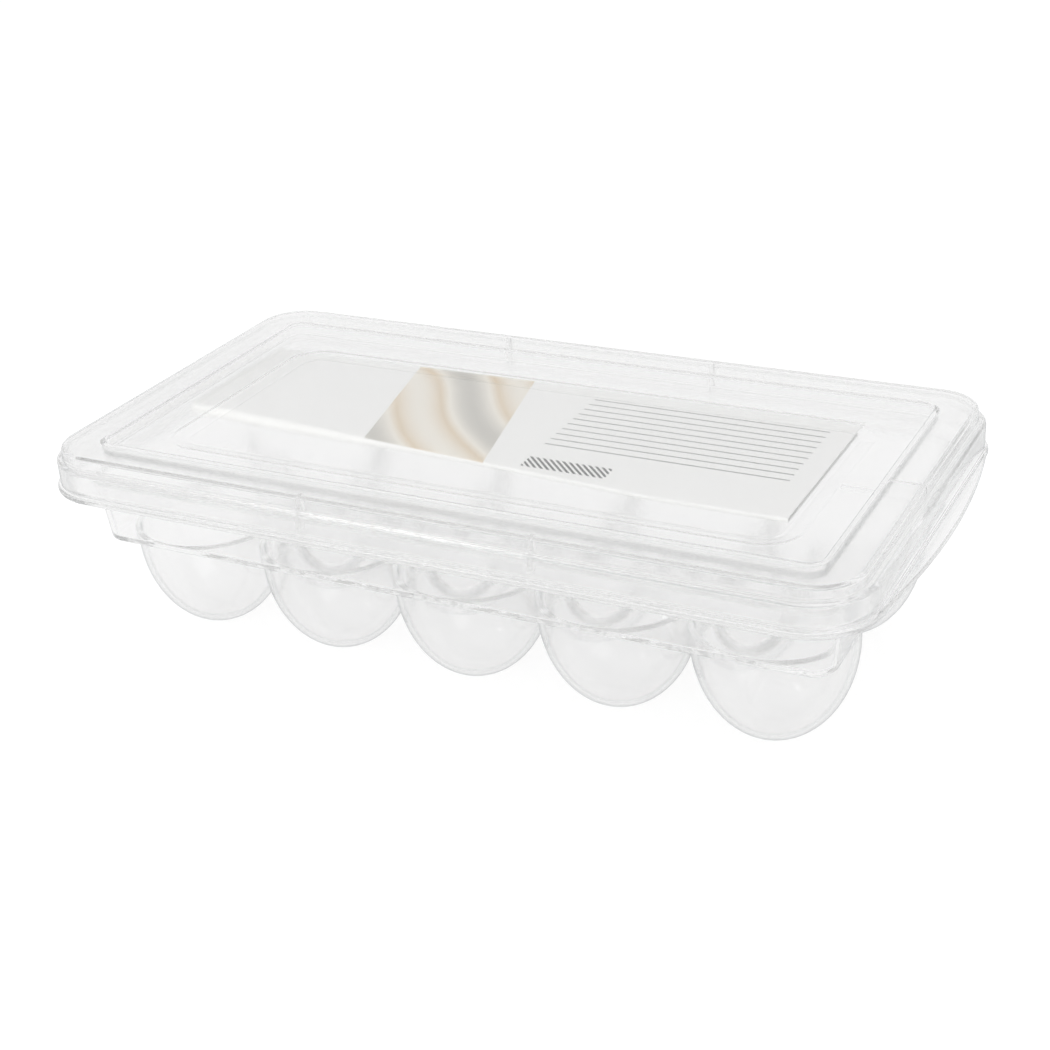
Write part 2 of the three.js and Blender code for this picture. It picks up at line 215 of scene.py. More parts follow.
def combine(target: Piece, tools: Sequence[Piece], cut: Cut) -> None:
    """Joins tools to a solid or takes them away from it, and clears the tools away.

    Args:
        target: Solid that is changed.
        tools: Solids that are joined to it or taken away.
        cut: Which of the two.
    """
    tool_bin = bpy.data.collections.new("cutting_tools")
    for tool in tools:
        tool_bin.objects.link(tool)
    make_active(target)
    modifier = target.modifiers.new("combine", "BOOLEAN")
    modifier.operation = cut.value
    modifier.operand_type = "COLLECTION"
    modifier.collection = tool_bin
    modifier.solver = "MANIFOLD"
    bpy.ops.object.modifier_apply(modifier=modifier.name)
    for tool in tools:
        bpy.data.objects.remove(tool)
    bpy.data.collections.remove(tool_bin)


def duplicate(piece: Piece, offset: Vector) -> Piece:
    """Copies a piece with its own mesh and moves the copy.

    Args:
        piece: Piece that is copied.
        offset: Way in metres that goes into the copy's mesh.

    Returns:
        The copy.
    """
    twin = piece.copy()
    twin.data = piece.data.copy()
    bpy.context.scene.collection.objects.link(twin)
    twin.location = offset
    apply_place(twin)
    return twin


def smooth(piece: Piece, sharp_degrees: float) -> None:
    """Shades a piece smooth but keeps its large faces flat.

    Args:
        piece: Piece that is shaded.
        sharp_degrees: Angle between two faces above which their edge stays hard.
    """
    make_active(piece)
    bpy.ops.object.shade_smooth_by_angle(angle=math.radians(sharp_degrees))
    flat = piece.modifiers.new("flat_faces", "WEIGHTED_NORMAL")
    flat.mode = "FACE_AREA"
    flat.keep_sharp = True
    bpy.ops.object.modifier_apply(modifier=flat.name)


def dress(piece: Piece, material: bpy.types.Material) -> None:
    """Gives a piece one material and no other."""
    piece.data.materials.clear()
    piece.data.materials.append(material)


@dataclass(frozen=True)
class Outline:
    """Rounded rectangle at a height, in millimetres, and the fillet that its edge gets."""

    half_x: float
    half_y: float
    radius: float
    height: float
    fillet: float = 0.0

    def inset(
        self, distance: float, height: float | None = None, fillet: float = 0.0,
    ) -> "Outline":
        """Draws the same outline in, or out where the distance is negative.

        Args:
            distance: How far each side moves in.
            height: Height of the new outline, or none for the same height.
            fillet: Fillet that the new outline's edge gets.

        Returns:
            The new outline.
        """
        return Outline(
            self.half_x - distance,
            self.half_y - distance,
            self.radius - distance,
            self.height if height is None else height,
            fillet,
        )


@dataclass
class Moulding:
    """A closed body that runs through rounded-rectangle outlines, with caps at both ends.

    The rings are drawn one above the other, a wide space apart, so that each is bridged to the
    next alone. Then each goes to its own height.
    """

    name: str
    outlines: list[Outline]
    centre_x: float
    corner_steps: int = 12
    fillet_steps: int = 3
    spacing: float = 20.0

    def build(self) -> Piece:
        """Draws the outlines, bridges each to the next, closes the ends and rounds the edges.

        Returns:
            The finished body at the origin.
        """
        clear_selection()
        bpy.ops.mesh.primitive_plane_add(size=1, location=(0, 0, 0))
        body = bpy.context.object
        body.name = self.name
        bpy.ops.object.mode_set(mode="EDIT")
        bpy.ops.mesh.delete(type="VERT")
        for number, outline in enumerate(self.outlines, start=1):
            self._draw(outline, number)
        for number in range(1, len(self.outlines)):
            self._select_rings({number, number + 1})
            bpy.ops.mesh.bridge_edge_loops()
        for number, outline in enumerate(self.outlines, start=1):
            self._select_rings({number})
            lift = outline.height - number * self.spacing
            bpy.ops.transform.translate(value=(0, 0, mm(lift)))
        for number in (1, len(self.outlines)):
            self._select_rings({number})
            bpy.ops.mesh.edge_face_add()
        for width in sorted({outline.fillet for outline in self.outlines if outline.fillet > 0}):
            self._round(width)
        close_shape()
        return body

    def _draw(self, outline: Outline, number: int) -> None:
        """Draws one outline as a ring of edges and marks its vertices with its number.

        Args:
            outline: Outline that is drawn.
            number: Its place in the order, which gives its height for now.
        """
        middle = (mm(self.centre_x), 0, mm(number * self.spacing))
        bpy.ops.mesh.select_all(action="DESELECT")
        bpy.ops.mesh.primitive_plane_add(size=1, location=middle)
        bpy.ops.transform.resize(
            value=(mm(2 * outline.half_x), mm(2 * outline.half_y), 1), center_override=middle,
        )
        round_off(outline.radius, self.corner_steps, corners=True)
        shape = bmesh.from_edit_mesh(bpy.context.object.data)
        ring = shape.verts.layers.int.get("ring") or shape.verts.layers.int.new("ring")
        for vertex in shape.verts:
            if vertex.select:
                vertex[ring] = number
        bmesh.update_edit_mesh(bpy.context.object.data)
        bpy.ops.mesh.delete(type="ONLY_FACE")

    @staticmethod
    def _select_rings(numbers: set[int]) -> None:
        """Selects the edges of the rings with these numbers.

        Args:
            numbers: Numbers of the rings.
        """
        bpy.ops.mesh.select_mode(type="VERT")
        bpy.ops.mesh.select_all(action="DESELECT")
        shape = bmesh.from_edit_mesh(bpy.context.object.data)
        ring = shape.verts.layers.int["ring"]
        for edge in shape.edges:
            first, second = edge.verts
            if first[ring] == second[ring] and first[ring] in numbers:
                edge.select_set(True)
        bmesh.update_edit_mesh(bpy.context.object.data)

    def _round(self, width: float) -> None:
        """Rounds the edges of every ring that has this fillet.

        Args:
            width: The fillet in millimetres.
        """
        self._select_rings({
            number for number, outline in enumerate(self.outlines, start=1)
            if outline.fillet == width
        })
        round_off(width, self.fillet_steps, clamp=True)


@dataclass(frozen=True)
class ClearPlastic:
    """Clear polypropylene, injection moulded in a fine-polished tool.

    The faint roughness of the skin softens what stands behind a wall. Where the view grazes a
    curved wall the colour turns slate: painted shade that draws the thin dark lines along the
    flanks.
    """

    name: str
    tint: str = WHITE
    ior: float = 1.49
    roughness: float = 0.1
    # Painted shade: the slate colour that the walls take where the view grazes them.
    rim_shade_tint: str = "#66727A"
    rim_blend: float = 0.5
    rim_start: float = 0.72
    rim_end: float = 0.95
    edge_tint: str = "#C5CBCF"
    density: float = 0.6
    shadow_tint: str = "#F2F2F1"
    wave_mm: float = 24.0
    wave_height_mm: float = 0.004
    wave_detail: float = 1.0
    wave_roughness: float = 0.4

    def build(self) -> bpy.types.Material:
        """Makes the material.

        Returns:
            A transmitting surface with thin absorption inside it, which lets lamps shine through.
        """
        material = bpy.data.materials.new(self.name)
        tree = empty_tree(material)
        surface = add_node(
            tree, "ShaderNodeBsdfPrincipled", {},
            {
                "Base Color": self._tint_with_rim_shade(tree),
                "Roughness": self.roughness,
                "IOR": self.ior,
                "Transmission Weight": 1.0,
                "Normal": self._flow(tree),
            },
        )
        passing = add_node(
            tree, "ShaderNodeBsdfTransparent", {}, {"Color": colour(self.shadow_tint)},
        )
        in_shadow = add_node(tree, "ShaderNodeLightPath").outputs["Is Shadow Ray"]
        mixed = add_node(
            tree, "ShaderNodeMixShader", {},
            {0: in_shadow, 1: surface.outputs["BSDF"], 2: passing.outputs["BSDF"]},
        )
        depth = add_node(
            tree, "ShaderNodeVolumeAbsorption", {},
            {"Color": colour(self.edge_tint), "Density": self.density},
        )
        add_node(
            tree, "ShaderNodeOutputMaterial", {},
            {"Surface": mixed.outputs["Shader"], "Volume": depth.outputs["Volume"]},
        )
        return material

    def _flow(self, tree: Tree) -> Socket:
        """Wide, shallow waves that the melt leaves in the skin.

        Args:
            tree: The material's node tree.

        Returns:
            The normal.
        """
        waves = add_node(
            tree, "ShaderNodeTexNoise", {},
            {
                "Vector": add_node(tree, "ShaderNodeTexCoord").outputs["Object"],
                "Scale": 1 / mm(self.wave_mm),
                "Detail": self.wave_detail,
                "Roughness": self.wave_roughness,
            },
        )
        return add_node(
            tree, "ShaderNodeBump", {},
            {"Height": waves.outputs["Fac"], "Distance": mm(self.wave_height_mm), "Strength": 1.0},
        ).outputs["Normal"]

    def _tint_with_rim_shade(self, tree: Tree) -> Socket:
        """The plastic's tint, with painted slate shade where the view grazes a wall.

        Args:
            tree: The material's node tree.

        Returns:
            The colour.
        """
        # Painted shade: the colour turns slate where the view grazes a wall, which draws the dark
        # lines along the flanks.
        grazing = add_node(tree, "ShaderNodeLayerWeight", {}, {"Blend": self.rim_blend})
        facing = grazing.outputs["Facing"]
        rim = add_node(
            tree, "ShaderNodeMapRange", {"interpolation_type": "SMOOTHSTEP"},
            {"Value": facing, "From Min": self.rim_start, "From Max": self.rim_end},
        )
        return add_node(
            tree, "ShaderNodeMix", {"data_type": "RGBA"},
            {0: rim.outputs[0], 6: colour(self.tint), 7: colour(self.rim_shade_tint)},
        ).outputs[2]


@dataclass(frozen=True)
class Patch:
    """A printed area of the card, in millimetres from the box's middle.

    The side edges lean by a number of millimetres in x for each millimetre in y.
    """

    left: float
    right: float
    low: float
    high: float
    lean: float = 0.0


@dataclass(frozen=True)
class CoatedCard:
    """Coated white card, printed by offset: silky, with a fine fibre tooth and flat inks.

    The upper face carries a pale grey painted shade, a leaning field of folded bands, ruled lines
    and a hatched bar. The fold and the underside stay white, lighter than the shaded face.
    """

    name: str
    paper: str = "#FBFBFA"
    # Painted shade: the upper face's base is a touch greyer than the white fold.
    painted_face_shade: str = "#F9F9F8"
    mottle: str = "#F4F4F4"
    ink: str = "#2C2E30"
    ior: float = 1.45
    roughness: float = 0.42
    fibre_mm: float = 0.6
    fibre_detail: float = 3.0
    fibre_roughness: float = 0.6
    tooth_mm: float = 0.01
    tooth_strength: float = 0.5
    # Where the print and the painted shade of the upper face begin.
    print_and_shade_above_mm: float = 63.45
    print_and_shade_from_mm: float = -115.7
    picture: Patch = Patch(-52.0, -8.0, -30.0, 60.0, -0.22)
    ruled: Patch = Patch(8.0, 88.0, 0.0, 41.0)
    hatched: Patch = Patch(8.0, 36.0, -17.0, -10.0)
    band_light: str = "#F0EBE1"
    band_warm: str = "#DCC9AD"
    band_grey: str = "#C2BFB8"
    band_mm: float = 52.36
    band_swirl: float = 5.0
    band_detail: float = 1.0
    band_detail_scale: float = 0.6
    band_stops: tuple[float, float, float, float] = (0.0, 0.35, 0.62, 1.0)
    row_mm: float = 4.1
    line_mm: float = 0.45
    hatch_mm: float = 2.2

    def build(self) -> bpy.types.Material:
        """Makes the material.

        Returns:
            Printed paper with a faint mottle and tooth.
        """
        material = bpy.data.materials.new(self.name)
        tree = empty_tree(material)
        place = add_node(tree, "ShaderNodeTexCoord").outputs["Object"]
        in_mm = add_node(
            tree, "ShaderNodeVectorMath", {"operation": "SCALE"},
            {0: place, "Scale": 1 / MILLIMETRE},
        ).outputs[0]
        x, y, z = add_node(tree, "ShaderNodeSeparateXYZ", {}, {0: in_mm}).outputs
        fibre = add_node(
            tree, "ShaderNodeTexNoise", {},
            {
                "Vector": place,
                "Scale": 1 / mm(self.fibre_mm),
                "Detail": self.fibre_detail,
                "Roughness": self.fibre_roughness,
            },
        ).outputs["Fac"]
        tooth = add_node(
            tree, "ShaderNodeBump", {},
            {"Height": fibre, "Distance": mm(self.tooth_mm), "Strength": self.tooth_strength},
        )
        # Painted shade on the upper face, with a random mottle from the fibre noise.
        shaded_face = self._blend(tree, fibre, colour(self.painted_face_shade), colour(self.mottle))
        in_picture = self._inside(tree, x, y, self.picture)
        pictured = self._blend(tree, in_picture, shaded_face, self._bands(tree, in_mm))
        inked = self._blend(tree, self._lines(tree, x, y), pictured, colour(self.ink))
        # The upper face, which takes both the print and the painted shade.
        face = self._compute(
            tree, "MULTIPLY",
            self._compute(tree, "GREATER_THAN", z, self.print_and_shade_above_mm),
            self._compute(tree, "GREATER_THAN", x, self.print_and_shade_from_mm),
        )
        surface = add_node(
            tree, "ShaderNodeBsdfPrincipled", {},
            {
                "Base Color": self._blend(tree, face, colour(self.paper), inked),
                "Roughness": self.roughness,
                "IOR": self.ior,
                "Normal": tooth.outputs["Normal"],
            },
        )
        add_node(tree, "ShaderNodeOutputMaterial", {}, {"Surface": surface.outputs["BSDF"]})
        return material

    @staticmethod
    def _blend(tree: Tree, share: Socket, first: Any, second: Any) -> Socket:
        """Colour between two colours, by a share from 0 to 1."""
        inputs = {0: share, 6: first, 7: second}
        return add_node(tree, "ShaderNodeMix", {"data_type": "RGBA"}, inputs).outputs[2]

    @staticmethod
    def _compute(tree: Tree, operation: str, *values: Socket | float) -> Socket:
        """Result of one operation on up to three values or sockets."""
        inputs = dict(enumerate(values))
        return add_node(tree, "ShaderNodeMath", {"operation": operation}, inputs).outputs[0]

    def _inside(self, tree: Tree, x: Socket, y: Socket, patch: Patch) -> Socket:
        """Says where a printed area lies.

        Args:
            tree: The material's node tree.
            x: Place along the card in millimetres.
            y: Place across it.
            patch: The printed area.

        Returns:
            1 inside the area and 0 outside it.
        """
        straight = self._compute(tree, "MULTIPLY_ADD", y, -patch.lean, x)
        across = self._compute(
            tree, "COMPARE",
            straight, (patch.left + patch.right) / 2, (patch.right - patch.left) / 2,
        )
        along = self._compute(
            tree, "COMPARE", y, (patch.low + patch.high) / 2, (patch.high - patch.low) / 2,
        )
        return self._compute(tree, "MULTIPLY", across, along)

    def _bands(self, tree: Tree, in_mm: Socket) -> Socket:
        """Soft folded bands in ivory, sand and grey.

        Args:
            tree: The material's node tree.
            in_mm: Place in millimetres.

        Returns:
            The bands' colour.
        """
        folds = add_node(
            tree, "ShaderNodeTexWave", {"wave_type": "BANDS", "bands_direction": "DIAGONAL"},
            {
                "Vector": in_mm,
                "Scale": WAVE_LENGTH / self.band_mm,
                "Distortion": self.band_swirl,
                "Detail": self.band_detail,
                "Detail Scale": self.band_detail_scale,
            },
        )
        ramp = add_node(tree, "ShaderNodeValToRGB", {}, {0: folds.outputs["Fac"]})
        elements = ramp.color_ramp.elements
        while len(elements) < len(self.band_stops):
            elements.new(0.5)
        inks = (self.band_grey, self.band_light, self.band_warm, self.band_light)
        for element, where, ink in zip(elements, self.band_stops, inks):
            element.position = where
            element.color = colour(ink)
        return ramp.outputs["Color"]

    def _lines(self, tree: Tree, x: Socket, y: Socket) -> Socket:
        """The ruled lines and the hatched bar.

        Args:
            tree: The material's node tree.
            x: Place along the card in millimetres.
            y: Place across it.

        Returns:
            1 where there is ink and 0 elsewhere.
        """
        row = self._compute(tree, "FLOORED_MODULO", y, self.row_mm)
        rule = self._compute(tree, "LESS_THAN", row, self.line_mm)
        slant = self._compute(tree, "ADD", x, y)
        step = self._compute(tree, "FLOORED_MODULO", slant, self.hatch_mm)
        hatch = self._compute(tree, "LESS_THAN", step, self.hatch_mm / 2)
        ruled = self._compute(tree, "MULTIPLY", self._inside(tree, x, y, self.ruled), rule)
        hatched = self._compute(tree, "MULTIPLY", self._inside(tree, x, y, self.hatched), hatch)
        return self._compute(tree, "MAXIMUM", ruled, hatched)


@dataclass
class CupTray:
    """The clear tray: cups under a deck, a drafted wall, a beaded rim with an upstand, and a tab.

    Sizes are in millimetres and heights are above the table.
    """

    centre_x: float
    cup_pitch: float = 48.8
    row_pitch: float = 32.3
    cups_in_long_row: int = 5
    cup_half_width: float = 24.5
    cup_half_height: float = 32.6
    cup_steps_round: int = 72
    cup_steps_up: int = 48
    foot_radius: float = 4.0
    wall: float = 1.6
    post_height: float = 28.0
    ridge_run: float = 4.0
    deck_height: float = 35.7
    deck_half: tuple[float, float] = (122.3, 57.9)
    deck_fillet: float = 1.2
    inner_deck_fillet: float = 0.8
    wall_corner: float = 7.0
    wall_draft_degrees: float = 6.0
    wall_fillet: float = 0.6
    flange_height: float = 56.0
    flange_thickness: float = 1.9
    flange_half: tuple[float, float] = (135.2336, 73.2336)
    flange_corner: float = 21.0
    flange_fillet: float = 0.8
    upstand_half: tuple[float, float] = (132.2836, 70.2836)
    upstand_corner: float = 18.05
    upstand_height: float = 6.8
    upstand_wall: float = 1.5
    upstand_foot_fillet: float = 0.3
    upstand_top_fillet: float = 0.45
    tab_reach: float = 4.5
    tab_start: float = 134.4836
    tab_thickness: float = 1.9
    tab_raise: float = 1.1
    tab_end_inset: float = 16.2
    tab_steps: int = 720
    tab_fillet: float = 0.5
    tab_fillet_steps: int = 3
    overrun: float = 2.0
    sharp_degrees: float = 32.0
    plastic: ClearPlastic = field(default_factory=lambda: ClearPlastic(
        "clear_polypropylene_moulded_tray", roughness=0.1,
    ))

    def build(self) -> Piece:
        """Builds the tray and dresses it.

        Returns:
            The tray as one piece.
        """
        tray = self._box()
        combine(tray, [self._tab()], Cut.JOIN)
        outer = self._cups(self.cup_half_width, self.cup_half_height, 0, self.deck_top)
        combine(tray, outer + self._ribs(), Cut.JOIN)
        combine(tray, [self._valley()], Cut.TAKE_AWAY)
        combine(tray, [self._web()], Cut.JOIN)
        spaces = self._cups(
            self.cup_half_width - self.wall, self.cup_half_height - self.wall, self.wall,
            self.deck_top + self.overrun,
        )
        combine(tray, spaces, Cut.TAKE_AWAY)
        tray.name = "clear_cup_tray"
        smooth(tray, self.sharp_degrees)
        dress(tray, self.plastic.build())
        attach(tray, "tray")
        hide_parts("cup_tray")
        return tray

    @property
    def deck_top(self) -> float:
        """Height of the deck's upper face."""
        return self.deck_height + self.wall

    @property
    def equator(self) -> float:
        """Height at which a cup is widest."""
        return self.cup_half_height * math.sqrt(1 - (self.foot_radius / self.cup_half_width) ** 2)

    def _box(self) -> Piece:
        """Deck, drafted wall, rim and upstand, from the deck's underside round to its upper face.

        Returns:
            One closed moulding.
        """
        run = math.tan(math.radians(self.wall_draft_degrees))
        flange_top = self.flange_height + self.flange_thickness
        upstand_top = flange_top + self.upstand_height
        deck = Outline(*self.deck_half, self.wall_corner, self.deck_height, self.deck_fillet)
        wall_top = deck.inset(
            -(self.flange_height - self.deck_height) * run, self.flange_height, self.wall_fillet,
        )
        rim = Outline(*self.flange_half, self.flange_corner, self.flange_height, self.flange_fillet)
        rim_top = rim.inset(0, flange_top, self.flange_fillet)
        stand_foot = Outline(
            *self.upstand_half, self.upstand_corner, flange_top, self.upstand_foot_fillet,
        )
        stand_top = stand_foot.inset(0, upstand_top, self.upstand_top_fillet)
        inner_top = stand_foot.inset(self.upstand_wall, upstand_top, self.upstand_top_fillet)
        inner_foot = stand_foot.inset(self.upstand_wall, flange_top, self.wall_fillet)
        inner_deck = deck.inset(self.wall - self.wall * run, self.deck_top, self.inner_deck_fillet)
        inner_wall = inner_deck.inset(
            -(flange_top - self.deck_top) * run, flange_top, self.wall_fillet,
        )
        outlines = [
            deck, wall_top, rim, rim_top, stand_foot, stand_top, inner_top, inner_foot,
            inner_wall, inner_deck,
        ]
        return Moulding("tray_box", outlines, self.centre_x).build()

    def _tab(self) -> Piece:
        """Crescent handle tab: a slice of a wide disc that is rounded along its edge first.

        Returns:
            The tab, with a sharp straight side inside the rim.
        """
        reach = self.flange_half[0] + self.tab_reach - self.tab_start
        half_chord = self.flange_half[1] - self.tab_end_inset
        radius = (half_chord ** 2 + reach ** 2) / (2 * reach)
        low = self.flange_height + self.tab_raise
        start = self.centre_x + self.tab_start
        clear_selection()
        bpy.ops.mesh.primitive_cylinder_add(
            vertices=self.tab_steps, radius=mm(radius), depth=mm(self.tab_thickness),
            location=(mm(start + reach - radius), 0, mm(low + self.tab_thickness / 2)),
        )
        tab = bpy.context.object
        apply_place(tab)
        bpy.ops.object.mode_set(mode="EDIT")
        select_where(Part.EDGE, lambda edge: lies_at(edge, "z", edge.verts[0].co.z))
        round_off(self.tab_fillet, self.tab_fillet_steps)
        bpy.ops.mesh.select_all(action="SELECT")
        bpy.ops.mesh.bisect(
            plane_co=(mm(start), 0, 0), plane_no=(1, 0, 0), use_fill=True, clear_inner=True,
        )
        bpy.ops.object.mode_set(mode="OBJECT")
        return tab

    def _centres(self) -> list[Vector]:
        """Places of the cups: two long rows and a middle row with one cup fewer.

        Returns:
            The places in metres, row by row from the front.
        """
        rows = (
            (-self.row_pitch, self.cups_in_long_row),
            (0.0, self.cups_in_long_row - 1),
            (self.row_pitch, self.cups_in_long_row),
        )
        return [
            Vector((mm(self.centre_x + (place - (count - 1) / 2) * self.cup_pitch), mm(y), 0))
            for y, count in rows for place in range(count)
        ]

    def _cups(self, half_width: float, half_height: float, foot: float, top: float) -> list[Piece]:
        """Solid cup bodies at every place in the tray.

        Args:
            half_width: Radius at the widest place.
            half_height: Half the height of the egg that gives the cup its form.
            foot: Height of the flat foot.
            top: Height of the flat top.

        Returns:
            One body for each cup.
        """
        clear_selection()
        bpy.ops.mesh.primitive_uv_sphere_add(
            segments=self.cup_steps_round, ring_count=self.cup_steps_up, radius=1,
            location=(0, 0, mm(self.equator)),
            scale=(mm(half_width), mm(half_width), mm(half_height)),
        )
        first = bpy.context.object
        apply_place(first)
        bpy.ops.object.mode_set(mode="EDIT")
        for height, above in ((self.equator, True), (foot, False)):
            bpy.ops.mesh.select_all(action="SELECT")
            bpy.ops.mesh.bisect(
                plane_co=(0, 0, mm(height)), plane_no=(0, 0, 1), use_fill=True,
                clear_outer=above, clear_inner=not above,
            )
        select_where(Part.FACE, lambda face: lies_at(face, "z", mm(self.equator)))
        extrude_up(top - self.equator)
        close_shape()
        bodies = [duplicate(first, centre) for centre in self._centres()]
        bpy.data.objects.remove(first)
        return bodies

    def _field(
        self, name: str, low: float, high: float, shift_low: float, shift_high: float,
    ) -> Piece:
        """Body between two heights on the outline through the outer cup centres.

        Args:
            name: Name of the body.
            low: Height of its lower face.
            high: Height of its upper face.
            shift_low: How far the long sides stand out from the cup rows at the lower face.
            shift_high: The same at the upper face.

        Returns:
            The body.
        """
        half_x = (self.cups_in_long_row - 1) * self.cup_pitch / 2
        waist = (self.cups_in_long_row - 2) / (self.cups_in_long_row - 1)
        middle = (mm(self.centre_x), 0, mm(low))
        clear_selection()
        bpy.ops.mesh.primitive_plane_add(size=2, location=middle)
        body = bpy.context.object
        body.name = name
        body.scale = (mm(half_x), mm(self.row_pitch + shift_low), 1)
        apply_place(body)
        bpy.ops.object.mode_set(mode="EDIT")
        select_where(Part.EDGE, lambda edge: lies_at(edge, "x", edge.verts[0].co.x))
        bpy.ops.mesh.subdivide(number_cuts=1)
        select_where(Part.VERTEX, lambda vertex: abs(vertex.co.y) < SAME_PLACE)
        bpy.ops.transform.resize(value=(waist, 1, 1), center_override=middle)
        bpy.ops.mesh.select_all(action="SELECT")
        extrude_up(high - low)
        spread = (self.row_pitch + shift_high) / (self.row_pitch + shift_low)
        bpy.ops.transform.resize(value=(1, spread, 1), center_override=middle)
        close_shape()
        return body

    def _valley(self) -> Piece:
        """The space over the posts, with sides that slope down from the long rows.

        Returns:
            A cutter that stands out above the deck.
        """
        rise = self.deck_top - self.post_height
        over = 2 * self.ridge_run * self.overrun / rise
        return self._field(
            "valley", self.post_height, self.deck_top + self.overrun,
            -self.ridge_run, self.ridge_run + over,
        )

    def _web(self) -> Piece:
        """The web that joins the cups under the posts."""
        return self._field("web", self.post_height - self.wall, self.post_height, 0, 0)

    def _ribs(self) -> list[Piece]:
        """Ridges along the long rows, between the web and the deck.

        Returns:
            One body for each ridge.
        """
        low = self.post_height - self.wall
        length = (self.cups_in_long_row - 1) * self.cup_pitch
        size = (length, 2 * self.ridge_run, self.deck_top - low)
        bodies = []
        for side in (-1, 1):
            middle = (self.centre_x, side * self.row_pitch, (low + self.deck_top) / 2)
            clear_selection()
            bpy.ops.mesh.primitive_cube_add(
                size=1,
                location=[mm(value) for value in middle],
                scale=[mm(value) for value in size],
            )
            apply_place(bpy.context.object)
            bodies.append(bpy.context.object)
        return bodies


@dataclass
class Lid:
    """The clear lid: skirt, ledge, raised ring and a sunk panel with a lower middle.

    Sizes are in millimetres and heights are above the table.
    """

    centre_x: float
    wall: float = 1.5
    skirt_half: tuple[float, float] = (134.1836, 72.1836)
    skirt_corner: float = 19.95
    skirt_bottom: float = 58.2
    ledge_top: float = 66.5
    ring_half: tuple[float, float] = (131.1836, 69.1836)
    ring_corner: float = 14.3
    ring_top: float = 70.3
    recess_half: tuple[float, float] = (118.3836, 56.3836)
    recess_corner: float = 4.0
    recess_draft: float = 0.4
    recess_floor: float = 66.3
    border: float = 12.4
    slope: float = 5.0
    panel_drop: float = 0.8
    panel_corner: float = 7.0
    outer_fillet: float = 1.0
    recess_top_fillet: float = 0.7
    recess_foot_fillet: float = 0.6
    panel_fillet: float = 0.5
    inner_fillet: float = 0.4
    edge_fillet: float = 0.3
    arch_end_inset: float = 17.2
    arch_steps: int = 1440
    arch_cut: float = 6.0
    lug_spacing: float = 76.0
    lug_shift: float = 1.5
    lug_width: float = 1.2
    lug_depth: float = 2.0
    lug_foot: float = 59.0
    rib_width: float = 1.0
    rib_drop: float = 1.0
    bar_fillet: float = 0.25
    bar_fillet_steps: int = 2
    sharp_degrees: float = 32.0
    plastic: ClearPlastic = field(default_factory=lambda: ClearPlastic(
        "clear_polypropylene_moulded_lid", roughness=0.15,
    ))

    def build(self) -> Piece:
        """Builds the lid and dresses it.

        Returns:
            The lid as one piece.
        """
        lid = self._shell()
        combine(lid, self._lugs() + [self._rib()], Cut.JOIN)
        combine(lid, [self._arch()], Cut.TAKE_AWAY)
        lid.name = "clear_lid"
        smooth(lid, self.sharp_degrees)
        dress(lid, self.plastic.build())
        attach(lid, "lid")
        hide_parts("lid")
        return lid

    def _shell(self) -> Piece:
        """The whole section, from the panel's top round to its underside.

        Returns:
            One closed moulding.
        """
        panel_top = self.recess_floor - self.panel_drop
        border_edge = Outline(
            self.recess_half[0] - self.border, self.recess_half[1] - self.border,
            self.panel_corner + self.slope, self.recess_floor, self.panel_fillet,
        )
        panel_edge = border_edge.inset(self.slope, panel_top, self.panel_fillet)
        recess_top = Outline(
            *self.recess_half, self.recess_corner + self.recess_draft, self.ring_top,
            self.recess_top_fillet,
        )
        recess_foot = recess_top.inset(
            self.recess_draft, self.recess_floor, self.recess_foot_fillet,
        )
        ring = Outline(*self.ring_half, self.ring_corner, self.ring_top, self.outer_fillet)
        ring_foot = ring.inset(0, self.ledge_top, self.edge_fillet)
        skirt = Outline(*self.skirt_half, self.skirt_corner, self.ledge_top, self.outer_fillet)
        skirt_low = skirt.inset(0, self.skirt_bottom, self.edge_fillet)
        skirt_inside = skirt.inset(self.wall, self.skirt_bottom, self.edge_fillet)
        under_ledge, ring_inside, under_ring, dish_high, dish_low, under_border, under_panel = (
            outline.inset(distance, upper - self.wall, self.inner_fillet)
            for outline, distance, upper in (
                (skirt, self.wall, self.ledge_top),
                (ring, self.wall, self.ledge_top),
                (ring, self.wall, self.ring_top),
                (recess_top, -self.wall, self.ring_top),
                (recess_foot, -self.wall, self.recess_floor),
                (panel_edge, -self.slope, self.recess_floor),
                (panel_edge, 0, panel_top),
            )
        )
        outlines = [
            panel_edge, border_edge, recess_foot, recess_top, ring, ring_foot, skirt, skirt_low,
            skirt_inside, under_ledge, ring_inside, under_ring, dish_high, dish_low,
            under_border, under_panel,
        ]
        return Moulding("lid_shell", outlines, self.centre_x).build()

    def _bar(self, low: tuple[float, float, float], high: tuple[float, float, float]) -> Piece:
        """A bar between two corners in millimetres, with its lower edges eased.

        Args:
            low: Lowest corner.
            high: Highest corner.

        Returns:
            The bar.
        """
        clear_selection()
        bpy.ops.mesh.primitive_cube_add(
            size=1,
            location=[mm((a + b) / 2) for a, b in zip(low, high)],
            scale=[mm(b - a) for a, b in zip(low, high)],
        )
        bar = bpy.context.object
        apply_place(bar)
        bpy.ops.object.mode_set(mode="EDIT")
        select_where(Part.EDGE, lambda edge: lies_at(edge, "z", mm(low[2])))
        round_off(self.bar_fillet, self.bar_fillet_steps)
        bpy.ops.object.mode_set(mode="OBJECT")
        return bar

    def _lugs(self) -> list[Piece]:
        """Lugs on the ring's inner wall, in pairs along the long sides.

        Returns:
            One bar for each lug.
        """
        outer = self.ring_half[1] - self.wall / 2
        inner = outer - self.wall / 2 - self.lug_depth
        bars = []
        for side_x in (-1, 1):
            middle = self.centre_x + self.lug_shift + side_x * self.lug_spacing / 2
            for low_y, high_y in ((-outer, -inner), (inner, outer)):
                bars.append(self._bar(
                    (middle - self.lug_width / 2, low_y, self.lug_foot),
                    (middle + self.lug_width / 2, high_y, self.ring_top - self.wall / 2),
                ))
        return bars

